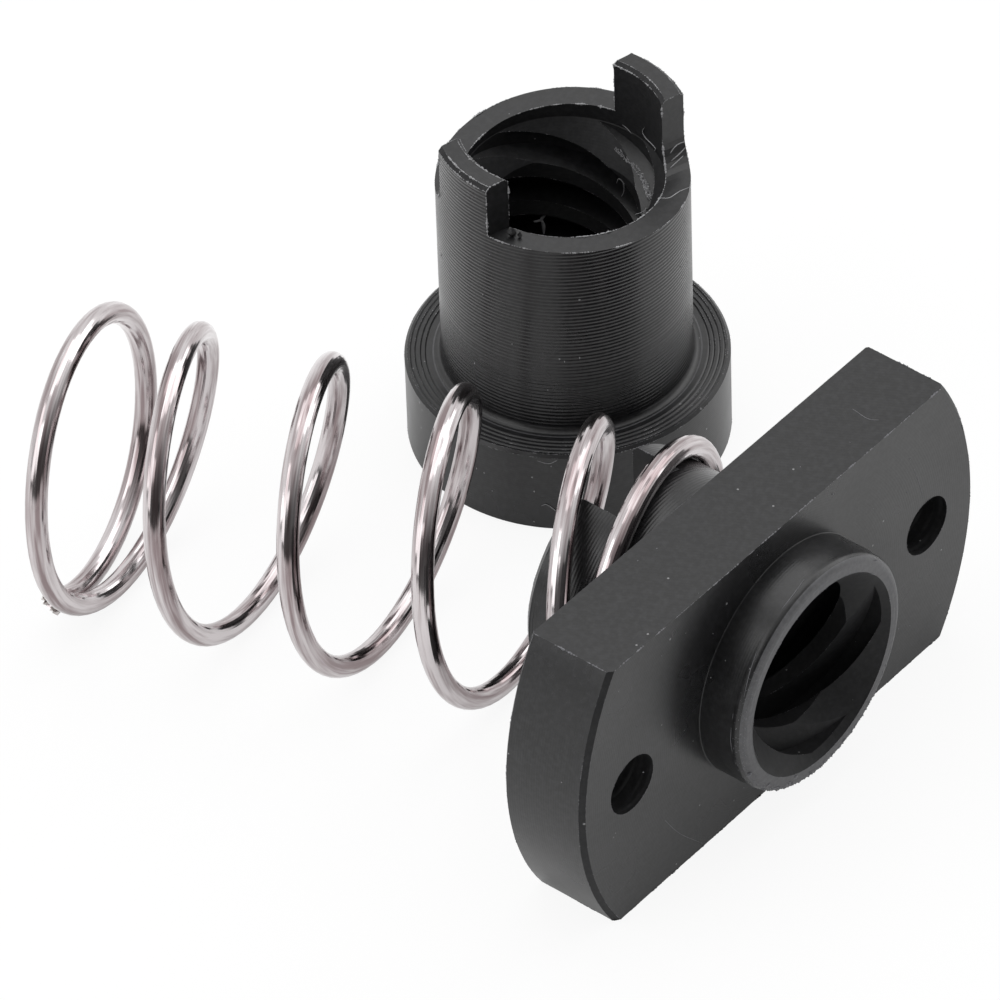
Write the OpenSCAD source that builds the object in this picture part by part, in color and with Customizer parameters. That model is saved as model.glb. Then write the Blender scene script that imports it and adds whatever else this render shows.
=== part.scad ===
// Lead screw nut that takes up its own backlash: a flanged nut, a pronged collar on the same
// screw thread, and the spring that pushes the two apart.
// Millimetres. +Y runs along the nut's screw axis from its front face to its back, +Z is up, and
// the origin is on that axis in the plane of the flange's front face. The three pieces lie taken
// apart on one surface, below the nut's lower flat.

/* [Screw thread] */
// Diameter of the bore left by the thread's crests, the same in the nut and in the collar
thread_core_d = 6.2; // [5.4:0.1:6.6]
// Diameter of the chamfered mouth where the screw enters a piece
mouth_d = 8.7; // [8.2:0.1:9.2]

/* [Nut] */
// Diameter of the flange, over its round ends
flange_d = 24.5; // [23.8:0.1:28]
// Width of the flange across its two flats
flat_w = 13.1; // [12.9:0.1:16]
// Thickness of the flange
flange_t = 3.8; // [3:0.1:6]
// Length of the spigot in front of the flange
spigot_l = 2; // [1.6:0.1:4]
// Diameter of the spigot that centres the nut in its bracket
spigot_d = 10.2; // [9.8:0.1:11]
// Distance between the two screw holes
hole_spacing = 18.5; // [17.6:0.1:19]
// Core diameter of the tapped screw holes
hole_d = 2.5; // [2:0.1:3.2]
// Length of the barrel behind the flange
nut_barrel_l = 4.9; // [4.5:0.1:8]

/* [Barrels and prongs] */
// Outside diameter of the barrel on the nut and on the collar, which the spring slides over
barrel_d = 10.2; // [10:0.1:10.8]
// Width of each prong
prong_w = 3.2; // [2.6:0.1:4]
// Height of the prongs above the collar's end face
prong_h = 2.8; // [2:0.1:3.2]
// Clearance on each side of a prong in its slot
slot_side_gap = 0.2; // [0.1:0.05:0.5]
// Depth of the slots from the barrel's back end
slot_depth = 2.3; // [1.6:0.1:3.2]

/* [Collar] */
// Diameter of the collar's flange
collar_flange_d = 13.2; // [12.8:0.1:15]
// Height of the collar's flange
collar_flange_h = 4; // [3:0.1:6]
// Length of the collar's barrel, from the flange to the end face between the prongs
collar_barrel_l = 9.2; // [7:0.1:14]
// Inside diameter of the prongs and of the recess at their foot
recess_d = 8.2; // [7.8:0.1:8.6]
// Depth of that recess below the end face
recess_depth = 0.8; // [0.5:0.1:1.5]
// Slope of the milled end faces, which are not quite square to the axis
end_face_slope = 4.3; // [0:0.1:5]
// Radius that the cutter left at one side of each prong
cutter_r = 1.15; // [0.6:0.05:1.6]

/* [Spring] */
// Diameter of the spring's wire
wire_d = 0.9; // [0.7:0.05:1]
// Clearance between the barrels and the inside of the spring, on the diameter
spring_clearance = 0.55; // [0.45:0.05:1]
// Length of the spring with no load on it
spring_l = 25.7; // [22:0.1:32]
// Open turns between the closed ends
open_turns = 4.07; // [3:0.01:5]
// Closed turns at the end that hangs on the nut
near_end_turns = 1.17; // [1:0.01:1.5]
// Closed turns at the far end
far_end_turns = 0.97; // [0.9:0.01:1.5]

/* [Where the loose pieces lie] */
// Angle between the spring's axis and the nut's axis
spring_yaw = 18.5; // [14:0.1:18.5]
// Angle between the far end ring and the nut's axis
far_ring_yaw = 17.6; // [12:0.1:20]
// How far the far end ring leans back, its top away from the nut
far_ring_lean = 3.8; // [0:0.1:4]
// How far the spring's last ring lies inside the back end of the nut's barrel
ring_reach = 2.9; // [2.5:0.05:3.1]
// Gap between the spring and the collar that stands beside it
collar_gap = 1.9; // [1:0.1:6]
// Distance along the spring from its nut end to the collar's nearest edge
collar_setback = 3.1; // [1:0.1:8]
// Angle of the prongs from the nut's cross direction
prong_yaw = -14.7; // [-90:0.1:90]

/* [Hidden] */

$fn = 96;
acetal = [0.11, 0.11, 0.115];
spring_steel = [0.78, 0.78, 0.78];

flange_chamfer = 0.3;
rim_chamfer = 0.25;
prong_chamfer = 0.16;
nut_foot_r = 0.2;
collar_foot_r = 0.33;
collar_rim_chamfer = 0.12;
// How far a cut runs past the face that it opens
over = 1;
// Slack that keeps pieces that only rest on each other apart
rest_gap = 0.06;
// Sideways shift of the hanging ring from the nut's axis
ring_shift = 0.18;
// Share of the lean that the spring's clearance on the barrel lets the hanging ring take
lean_share = 0.65;
// Air between neighbouring closed turns
coil_air = 0.03;
// Length of winding, in turns, over which a closed turn opens to the full pitch
blend_turns = 0.08;
// Length of winding, in turns, over which an end ring leans over to the spring's own axis
lean_turns = 0.67;
// Winding angle of the wire's far tip, from the top of the ring
far_tip_angle = 140.6;
wire_sides = 12;
steps_per_turn = 30;

barrel_r = barrel_d / 2;
core_r = thread_core_d / 2;
mouth_depth = (mouth_d - thread_core_d) / 2;
floor_z = -flat_w / 2;
collar_end_h = collar_flange_h + collar_barrel_l;
prong_tip_h = collar_end_h + prong_h;
slot_w = prong_w + 2 * slot_side_gap;

wire_r = wire_d / 2;
coil_r = (barrel_d + spring_clearance + wire_d) / 2;
closed_pitch = wire_d + coil_air;
closed_turns = near_end_turns + far_end_turns;
total_turns = closed_turns + open_turns;
open_pitch = (spring_l - wire_d - closed_pitch * closed_turns) / open_turns;
// Heights of the two ends of the spring's axis: one lies on the surface, the other hangs on the barrel
far_axis_z = floor_z + coil_r + wire_r;
near_axis_z = max(far_axis_z, barrel_r - coil_r + wire_r + rest_gap);
near_axis_end = [ring_shift, flange_t + nut_barrel_l - ring_reach, near_axis_z];
// Angle between the hanging end ring and the nut's axis
near_ring_yaw = lean_share * acos(barrel_r / (coil_r - wire_r));
axis_run = spring_l - wire_d;

// Direction in the plan that leads away from the nut at an angle to its axis
function away(yaw) = [-sin(yaw), cos(yaw), 0];
// Direction in the plan across the spring, on the side of the nut's left end
function across(yaw) = [-cos(yaw), -sin(yaw), 0];
function unit(v) = v / norm(v);
function smooth(x) = let (t = min(1, max(0, x))) t * t * (3 - 2 * t);

// Point on an arc about a centre, for outlines
function arc(centre, r, from, to, steps) =
    [for (i = [0:steps]) let (a = from + (to - from) * i / steps) centre + r * [cos(a), sin(a)]];

// Distance along the winding, in turns, that has opened to the full pitch
function opened(u) = u < -blend_turns ? 0 : u > blend_turns ? u
    : (u + blend_turns) * (u + blend_turns) / (4 * blend_turns);
// Way along the spring's axis from its far end after u turns
function advance(u) = closed_pitch * u
    + (open_pitch - closed_pitch) * (opened(u - far_end_turns) - opened(u - far_end_turns - open_turns));
// Angle to the nut's axis of the ring that the wire is on after u turns
function ring_yaw(u) =
    far_ring_yaw
    + (spring_yaw - far_ring_yaw) * smooth((u - far_end_turns) / lean_turns + 0.5)
    + (near_ring_yaw - spring_yaw) * smooth((u - far_end_turns - open_turns) / lean_turns + 0.5);
// Centre of the spring's ring after u turns
function axis_point(u) =
    let (left = axis_run - advance(u), share = left / axis_run)
    near_axis_end + away(spring_yaw) * left + [0, 0, (far_axis_z - near_axis_z) * share];
// How far the wire leans back after u turns, for each unit of its height over the ring's centre
function leaning(u) = tan(far_ring_lean) * (1 - smooth((u - far_end_turns) / lean_turns + 0.5));
// Direction from the ring's centre to the wire after u turns
function spoke(u) =
    let (a = far_tip_angle + 360 * u, yaw = ring_yaw(u))
    cos(a) * ([0, 0, 1] + leaning(u) * away(yaw)) + sin(a) * across(yaw);
function wire_centre(u) = axis_point(u) + coil_r * spoke(u);
// One ring of points round the wire after u turns
function wire_section(u) =
    let (
        reach = 0.25 / steps_per_turn,
        along = unit(wire_centre(u + reach) - wire_centre(u - reach)),
        side = unit(cross(along, spoke(u))),
        out = cross(side, along)
    )
    [for (k = [0:wire_sides - 1]) let (a = 360 * k / wire_sides)
        wire_centre(u) + wire_r * (cos(a) * out + sin(a) * side)];

// Closed solid through a list of rings that all have the same number of points
module sweep(rings) {
    n = len(rings[0]);
    last = len(rings) - 1;
    polyhedron(
        points = [for (ring = rings) each ring],
        faces = concat(
            [[for (k = [0:n - 1]) k]],
            [for (i = [0:last - 1], k = [0:n - 1]) let (m = (k + 1) % n)
                each [[i * n + k, (i + 1) * n + k, (i + 1) * n + m], [i * n + k, (i + 1) * n + m, i * n + m]]],
            [[for (k = [n - 1:-1:0]) last * n + k]]
        )
    );
}

// Turns a shape that is built up along Z so that it runs along the nut's axis
module along_y() rotate([-90, 0, 0]) children();

// Conical mouth, widest at z = 0 and narrowing upwards to the bore
module mouth() {
    translate([0, 0, -over])
        cylinder(h = over + mouth_depth, r1 = mouth_d / 2 + over, r2 = core_r);
}

// Spigot and barrel of the nut in one turned outline, with the small radii at their feet
module nut_stem() {
    spigot_r = spigot_d / 2;
    back = flange_t + nut_barrel_l;
    rotate_extrude()
        polygon(concat(
            [[0, -spigot_l], [spigot_r - rim_chamfer, -spigot_l], [spigot_r, -spigot_l + rim_chamfer]],
            arc([spigot_r + nut_foot_r, -nut_foot_r], nut_foot_r, 180, 90, 4),
            arc([barrel_r + nut_foot_r, flange_t + nut_foot_r], nut_foot_r, 270, 180, 4),
            [[barrel_r, back - rim_chamfer], [barrel_r - rim_chamfer, back], [0, back]]
        ));
}

// Round flange with two flats; its round ends are chamfered, its flats are left as they were cut
module nut_flange() {
    r = flange_d / 2;
    c = flange_chamfer;
    intersection() {
        rotate_extrude()
            polygon([[0, 0], [r - c, 0], [r, c], [r, flange_t - c], [r - c, flange_t], [0, flange_t]]);
        translate([-flange_d / 2, -flat_w / 2, 0]) cube([flange_d, flat_w, flange_t]);
    }
}

module flange_nut() {
    back = flange_t + nut_barrel_l;
    color(acetal)
        along_y()
            difference() {
                union() {
                    nut_flange();
                    nut_stem();
                }
                translate([0, 0, -spigot_l - over]) cylinder(h = spigot_l + back + 2 * over, r = core_r);
                translate([0, 0, -spigot_l]) mouth();
                // Slots for the prongs, open to the back and above and below the axis
                translate([-slot_w / 2, -barrel_d, back - slot_depth])
                    cube([slot_w, 2 * barrel_d, slot_depth + over]);
                for (side = [-1, 1])
                    translate([side * hole_spacing / 2, 0, -over])
                        cylinder(h = flange_t + 2 * over, d = hole_d);
            }
}

// Collar turned in one outline up to the prongs' tips
module collar_blank() {
    r = collar_flange_d / 2;
    c = collar_rim_chamfer;
    rotate_extrude()
        polygon(concat(
            [[0, 0], [r - c, 0], [r, c], [r, collar_flange_h - c], [r - c, collar_flange_h]],
            arc([barrel_r + collar_foot_r, collar_flange_h + collar_foot_r], collar_foot_r, 270, 180, 5),
            [[barrel_r, prong_tip_h - prong_chamfer], [barrel_r - prong_chamfer, prong_tip_h], [0, prong_tip_h]]
        ));
}

// Cut that clears the wall beside the prongs, which lie on the X axis. Its floor is the end face, which
// slopes along X, and the cutter's corner stays standing against the prong at the low end.
module end_gap() {
    reach = barrel_d;
    translate([0, 0, collar_end_h])
        rotate([0, -end_face_slope, 0])
            difference() {
                translate([-reach, prong_w / 2, 0]) cube([2 * reach, reach, prong_h + reach]);
                translate([-2 * reach, prong_w / 2 - over, -over])
                    difference() {
                        cube([2 * reach, cutter_r + over, cutter_r + over]);
                        translate([-over, cutter_r + over, cutter_r + over])
                            rotate([0, 90, 0]) cylinder(h = 2 * reach + 2 * over, r = cutter_r);
                    }
            }
}

// Places the collar on the surface beside the spring
module at_collar_place() {
    side = coil_r + wire_r + collar_gap + collar_flange_d / 2;
    back = collar_setback + collar_flange_d / 2;
    spot = near_axis_end - across(spring_yaw) * side + away(spring_yaw) * back;
    translate([spot[0], spot[1], floor_z]) rotate(prong_yaw) children();
}

module collar() {
    color(acetal)
        at_collar_place()
            difference() {
                collar_blank();
                translate([0, 0, -over]) cylinder(h = prong_tip_h + 2 * over, r = core_r);
                mouth();
                translate([0, 0, collar_end_h - recess_depth])
                    cylinder(h = recess_depth + prong_h + over, d = recess_d);
                for (turn = [0, 180]) rotate(turn) end_gap();
            }
}

module spring() {
    steps = ceil(total_turns * steps_per_turn);
    color(spring_steel)
        sweep([for (i = [0:steps]) wire_section(total_turns * i / steps)]);
}

flange_nut();
spring();
collar();
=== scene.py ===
"""Looks of a lead screw nut that takes up its own backlash.

A flange nut, a bright wire spring and a pronged collar lie taken apart on a pale surface. The nut
and the collar are each made in a frame of their own, in millimetres with the screw axis along Z,
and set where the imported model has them. The spring is made in its place. The finishes come before
the pieces, and the surface, the room and the lamps come after them.
"""

import logging
import math
import random
from collections.abc import Callable, Iterable, Sequence
from dataclasses import dataclass, field
from enum import Enum

import bmesh
import bpy
from mathutils import Matrix, Vector, noise


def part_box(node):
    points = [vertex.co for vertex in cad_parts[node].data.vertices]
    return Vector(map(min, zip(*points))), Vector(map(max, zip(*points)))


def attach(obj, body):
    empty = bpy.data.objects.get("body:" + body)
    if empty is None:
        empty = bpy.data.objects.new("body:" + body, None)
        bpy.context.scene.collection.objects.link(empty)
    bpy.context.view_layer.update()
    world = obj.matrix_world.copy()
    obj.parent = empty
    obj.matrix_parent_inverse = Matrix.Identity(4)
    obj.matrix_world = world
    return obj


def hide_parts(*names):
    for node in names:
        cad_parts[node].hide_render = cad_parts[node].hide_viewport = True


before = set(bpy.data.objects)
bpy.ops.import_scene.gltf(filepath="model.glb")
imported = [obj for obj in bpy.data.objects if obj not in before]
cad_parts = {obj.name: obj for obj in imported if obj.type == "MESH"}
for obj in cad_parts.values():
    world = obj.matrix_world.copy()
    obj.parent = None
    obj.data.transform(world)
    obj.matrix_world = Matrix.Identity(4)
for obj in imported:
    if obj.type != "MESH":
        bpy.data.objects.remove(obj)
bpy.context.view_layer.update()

LOG = logging.getLogger("lead_screw_nut")
SEED = 8

# Metres in a millimetre
MM = 0.001
# Corners nearer to each other than this are one, in metres
MERGE_M = 1e-7
# Edges flatter than this are shaded smooth
SMOOTH_BELOW = math.radians(12)
# Outer edges sharper than this carry a burr
BURR_ABOVE = math.radians(40)
# Usual way from one crumb of a burr to the next, and the thinnest that shows, in millimetres
BURR_STEP = 0.05
BURR_LEAST = 0.004
# A torn crumb's least and greatest length and reach, as shares of its half thickness
CRUMB_LENGTH = (1.0, 2.4)
CRUMB_REACH = (0.6, 1.4)
# A way that no curl of swarf runs along
ASKEW = Vector((0.31, 0.52, 0.79))
# Faces within this of a surface belong to it, in millimetres
NEAR = 0.01
# A face whose normal has less of the axis in it than this is not square to the axis
SQUARE = 0.99
# How far cutters reach past a face that they open, in millimetres
PAST = 1

Outline = list[tuple[float, float]]
Settings = dict[str | int, object]


class Surface(Enum):
    """How a surface of an acetal piece was made, or what light is painted on it. The value is its material's
    place on the mesh.
    """

    TURNED = 0
    FINE = 1
    MILLED = 2
    THREAD = 3
    PAINTED_SHEEN = 4
    TORN = 5


class WireSurface(Enum):
    """How a surface of the wire was made. The value is its material's place on the mesh."""

    DRAWN = 0
    CUT = 1


# Meshes


@dataclass
class Draft:
    """Points in millimetres and faces, before they become a mesh."""

    points: list[tuple[float, float, float]] = field(default_factory=list)
    faces: list[tuple[int, ...]] = field(default_factory=list)

    def add(self, other: "Draft") -> None:
        """Adds another draft's points and faces to this one.

        Args:
            other: The other draft.
        """
        first = len(self.points)
        self.points += other.points
        self.faces += [tuple(first + i for i in face) for face in other.faces]

    def turned(self, matrix: Matrix) -> "Draft":
        """Returns a copy moved by a matrix whose lengths are in millimetres."""
        return Draft([tuple(matrix @ Vector(p)) for p in self.points], list(self.faces))

    def to_object(self, name: str, place: Matrix) -> bpy.types.Object:
        """Makes an object in metres.

        Args:
            name: The object's name.
            place: The object's matrix, in metres.

        Returns:
            The new object, linked to the scene.
        """
        mesh = bpy.data.meshes.new(name)
        mesh.from_pydata([[c * MM for c in p] for p in self.points], [], self.faces)
        mesh.validate()
        made = bpy.data.objects.new(name, mesh)
        bpy.context.scene.collection.objects.link(made)
        made.matrix_world = place
        return made


def around(radius: float, turn: float, height: float) -> Vector:
    """Returns the place at a radius, an angle in degrees and a height."""
    a = math.radians(turn)
    return Vector((radius * math.cos(a), radius * math.sin(a), height))


def arc(centre: tuple[float, float], r: float, start: float, end: float, steps: int = 10) -> Outline:
    """Returns points on an arc, with both ends, for angles in degrees."""
    angles = [math.radians(start + (end - start) * i / steps) for i in range(steps + 1)]
    return [(centre[0] + r * math.cos(a), centre[1] + r * math.sin(a)) for a in angles]


def lathe(outline: Outline, steps: int = 256) -> Draft:
    """Turns an outline about the Z axis into a closed solid.

    Args:
        outline: Radius and height of each point, from the axis at the bottom to the axis at the top.
        steps: Number of flats round the axis.

    Returns:
        The closed solid.
    """
    made = Draft()
    rings: list[list[int]] = []
    for r, z in outline:
        first = len(made.points)
        if r == 0:
            made.points.append((0.0, 0.0, z))
            rings.append([first] * steps)
        else:
            turns = [2 * math.pi * i / steps for i in range(steps)]
            made.points += [(r * math.cos(a), r * math.sin(a), z) for a in turns]
            rings.append(list(range(first, first + steps)))
    for low, high in zip(rings, rings[1:]):
        for i in range(steps):
            k = (i + 1) % steps
            face = [low[i], low[k], high[k], high[i]]
            made.faces.append(tuple(dict.fromkeys(face)))
    return made


def prism(outline: Outline, low: float, high: float) -> Draft:
    """Extrudes an outline along Z.

    Args:
        outline: The corners' X and Y, counter-clockwise.
        low: The lower end's height.
        high: The upper end's height.

    Returns:
        The closed solid.
    """
    n = len(outline)
    made = Draft([(x, y, z) for z in (low, high) for x, y in outline])
    made.faces = [tuple(range(n - 1, -1, -1)), tuple(range(n, 2 * n))]
    made.faces += [(i, (i + 1) % n, n + (i + 1) % n, n + i) for i in range(n)]
    return made


def sweep(rings: Sequence[Sequence[Vector]]) -> Draft:
    """Joins rings into a tube with closed ends.

    Args:
        rings: The rings, all with the same number of points.

    Returns:
        The closed solid.
    """
    n = len(rings[0])
    last = (len(rings) - 1) * n
    made = Draft([tuple(p) for ring in rings for p in ring])
    made.faces = [tuple(range(n - 1, -1, -1)), tuple(last + k for k in range(n))]
    for i in range(len(rings) - 1):
        for k in range(n):
            m = (k + 1) % n
            made.faces.append((i * n + k, i * n + m, (i + 1) * n + m, (i + 1) * n + k))
    return made


def carve(body: bpy.types.Object, cutters: Iterable[Draft]) -> None:
    """Cuts drafts out of an object, whose mesh is replaced by the result.

    Args:
        body: The object, a closed solid.
        cutters: The closed drafts, in the object's frame.
    """
    tools = [c.to_object("cutter", body.matrix_world) for c in cutters]
    for tool in tools:
        cut = body.modifiers.new("cut", "BOOLEAN")
        cut.operation = "DIFFERENCE"
        cut.solver = "MANIFOLD"
        cut.object = tool
    ready = body.evaluated_get(bpy.context.evaluated_depsgraph_get())
    result = bpy.data.meshes.new_from_object(ready)
    result.materials.clear()
    body.modifiers.clear()
    body.data = result
    for tool in tools:
        bpy.data.objects.remove(tool)


def finish_mesh(
    body: bpy.types.Object, made_by: Callable[[Vector, Vector], Surface] | None = None
) -> None:
    """Cleans a mesh, shades it smooth up to its real edges and sorts its faces by surface.

    Args:
        body: The object.
        made_by: Says how a face was made from its centre in millimetres and its normal.
    """
    work = bmesh.new()
    work.from_mesh(body.data)
    bmesh.ops.remove_doubles(work, verts=work.verts, dist=MERGE_M)
    bmesh.ops.dissolve_degenerate(work, edges=work.edges, dist=MERGE_M)
    for face in work.faces:
        face.smooth = True
        if made_by:
            face.material_index = made_by(face.calc_center_median() / MM, face.normal).value
    work.to_mesh(body.data)
    work.free()
    body.data.set_sharp_from_angle(angle=SMOOTH_BELOW)


# Marks of the tools


def crumb(spot: Vector, along: Vector, size: float) -> Draft:
    """Makes a torn crumb: an uneven eight-sided body, longest along one way.

    Args:
        spot: Its middle, in millimetres.
        along: The way that it is longest.
        size: Its half thickness, in millimetres.

    Returns:
        The closed crumb.
    """
    side = along.orthogonal().normalized()
    ways = [along * random.uniform(*CRUMB_LENGTH), side, along.cross(side)]
    ends = [spot + sign * size * random.uniform(*CRUMB_REACH) * way for way in ways for sign in (1, -1)]
    made = Draft([tuple(end) for end in ends])
    made.faces = [(0, 2, 4), (2, 1, 4), (1, 3, 4), (3, 0, 4), (2, 0, 5), (1, 2, 5), (3, 1, 5), (0, 3, 5)]
    return made


def burrs(body: bpy.types.Object, size_at: Callable[[Vector], float]) -> Draft:
    """Makes the ragged crumbs that a tool leaves along the sharp outer edges of a mesh.

    Args:
        body: The finished object.
        size_at: Returns the crumbs' half thickness at a place, in millimetres, or 0 for none.

    Returns:
        The crumbs.
    """
    work = bmesh.new()
    work.from_mesh(body.data)
    made = Draft()
    for edge in work.edges:
        if len(edge.link_faces) != 2 or not edge.is_convex or edge.calc_face_angle() < BURR_ABOVE:
            continue
        start, end = (corner.co / MM for corner in edge.verts)
        for _ in range(int((end - start).length / BURR_STEP + random.random())):
            spot = start.lerp(end, random.random())
            # Thick and thin stretches, about half a millimetre long, take turns along the edge
            patchy = 0.55 + 1.5 * noise.noise(spot * 1.7)
            size = size_at(spot) * patchy * random.uniform(0.5, 1.3)
            if size > BURR_LEAST:
                made.add(crumb(spot, (end - start).normalized(), size))
    work.free()
    return made


def strand(points: Sequence[Vector], radius: float, sides: int = 6, steps: int = 6) -> Draft:
    """Makes a thin curl of swarf, or the raised lip of a scratch, thickest in its middle.

    Args:
        points: The places that it passes, in millimetres.
        radius: Its greatest radius, in millimetres.
        sides: Number of flats round it.
        steps: Number of rings from one place to the next.

    Returns:
        The closed curl.
    """
    spots: list[Vector] = []
    for i in range(len(points) - 1):
        # A smooth curve from b to c, which also depends on the place before and the place after
        a, b = points[max(i - 1, 0)], points[i]
        c, d = points[i + 1], points[min(i + 2, len(points) - 1)]
        for k in range(steps + (i == len(points) - 2)):
            t = k / steps
            bend = 2 * b + t * (c - a) + t * t * (2 * a - 5 * b + 4 * c - d) + t**3 * (3 * b - a - 3 * c + d)
            spots.append(bend / 2)
    rings = []
    for i, spot in enumerate(spots):
        ahead = (spots[min(i + 1, len(spots) - 1)] - spots[max(i - 1, 0)]).normalized()
        side = ahead.cross(ASKEW).normalized()
        r = radius * (0.35 + 0.65 * math.sin(math.pi * (i + 0.5) / len(spots)))
        turns = [2 * math.pi * k / sides for k in range(sides)]
        rings.append([spot + r * (math.cos(a) * side + math.sin(a) * ahead.cross(side)) for a in turns])
    return sweep(rings)


def stick(body: bpy.types.Object, extra: Draft, surface: Surface | WireSurface) -> None:
    """Adds small closed bodies to an object's mesh.

    Args:
        body: The object.
        extra: The bodies, in the object's frame.
        surface: The surface whose material they take.
    """
    work = bmesh.new()
    work.from_mesh(body.data)
    corners = [work.verts.new([c * MM for c in point]) for point in extra.points]
    for face in extra.faces:
        work.faces.new([corners[i] for i in face]).material_index = surface.value
    work.to_mesh(body.data)
    work.free()


# Screw threads


@dataclass(frozen=True)
class ThreadForm:
    """An internal screw thread, right hand, sizes in millimetres."""

    starts: int
    pitch: float
    core_r: float
    root_r: float
    crest_w: float
    flank_w: float

    def profile(self) -> Outline:
        """Returns one pitch of the cutter that leaves this thread, as height and radius."""
        c, f = self.crest_w, self.flank_w
        return [(0.0, self.core_r), (c, self.core_r), (c + f, self.root_r), (self.pitch - f, self.root_r)]

    def cutter(self, low: float, high: float, phase: float = 0.0, steps: int = 192) -> Draft:
        """Makes the closed solid that cuts the thread.

        Each column of points follows the profile up the axis, and each next column is turned and
        raised along the helix, so that the crests' edges are true helices. After a whole turn a
        column meets the first one, as many points further on as the thread has starts.

        Args:
            low: Lowest height that the thread has to reach, in millimetres.
            high: Highest height that it has to reach.
            phase: Angle of a crest at height 0, in degrees.
            steps: Number of columns round the axis.

        Returns:
            The closed cutter, which reaches past both heights.
        """
        form, lead = self.profile(), self.starts * self.pitch
        per_turn = self.starts * len(form)
        first = math.floor(low / self.pitch) - self.starts - 1
        pitches = math.ceil(high / self.pitch) + 1 - first
        made, columns = Draft(), []
        for i in range(steps):
            a = 2 * math.pi * i / steps + math.radians(phase)
            extra = self.starts if i == 0 else 0
            columns.append(len(made.points))
            for p in range(pitches + extra):
                for dz, r in form:
                    z = (first + p) * self.pitch + dz + lead * i / steps
                    made.points.append((r * math.cos(a), r * math.sin(a), z))
        count = pitches * len(form)
        for i in range(steps):
            here = columns[i]
            there = columns[i + 1] if i + 1 < steps else columns[0] + per_turn
            for j in range(count - 1):
                made.faces.append((here + j, there + j, there + j + 1, here + j + 1))
        self._close(made, columns, per_turn, 0, top=False)
        self._close(made, columns, per_turn, count - 1, top=True)
        return made

    def _close(self, made: Draft, columns: list[int], per_turn: int, row: int, top: bool) -> None:
        """Closes one end of the cutter with a fan from a point on the axis.

        Args:
            made: The cutter.
            columns: The number of each column's first point.
            per_turn: Points by which a whole turn climbs a column.
            row: The place in each column of the end's point.
            top: Whether it is the upper end.
        """
        rim = [column + row for column in columns]
        rim += [columns[0] + row + k for k in range(per_turn, 0, -1)]
        centre = len(made.points)
        z = made.points[columns[0] + row][2] + self.starts * self.pitch / 2
        made.points.append((0.0, 0.0, z))
        for a, b in zip(rim, rim[1:] + rim[:1]):
            made.faces.append((centre, a, b) if top else (centre, b, a))


SCREW_THREAD = ThreadForm(starts=4, pitch=2.0, core_r=3.1, root_r=4.08, crest_w=0.74, flank_w=0.28)
BOLT_THREAD = ThreadForm(starts=1, pitch=0.5, core_r=1.28, root_r=1.31, crest_w=0.18, flank_w=0.13)


# Materials


def linear(code: str) -> tuple[float, float, float, float]:
    """Turns an sRGB colour such as #1a1a1b into linear values with an alpha of 1."""
    parts = [int(code[i : i + 2], 16) / 255 for i in (1, 3, 5)]
    return (*[c / 12.92 if c <= 0.04045 else ((c + 0.055) / 1.055) ** 2.4 for c in parts], 1.0)


def add_node(tree: bpy.types.NodeTree, kind: str, settings: Settings | None = None) -> bpy.types.Node:
    """Adds one node to a tree.

    Args:
        tree: The node tree.
        kind: The node's type, without the common part of its name.
        settings: A property's or input's name, or an input's number, and its value or the socket
            that feeds it. Properties come first.

    Returns:
        The new node.
    """
    made = tree.nodes.new("ShaderNode" + kind)
    for key, value in (settings or {}).items():
        if isinstance(key, str) and hasattr(made, key):
            setattr(made, key, value)
        elif isinstance(value, bpy.types.NodeSocket):
            tree.links.new(value, made.inputs[key])
        else:
            made.inputs[key].default_value = value
    return made


def new_material(name: str) -> tuple[bpy.types.Material, bpy.types.NodeTree, bpy.types.Node]:
    """Makes a node material.

    Args:
        name: Its name.

    Returns:
        The material, its tree and its surface shader.
    """
    made = bpy.data.materials.new(name)
    made.use_nodes = True
    return made, made.node_tree, made.node_tree.nodes["Principled BSDF"]


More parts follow.
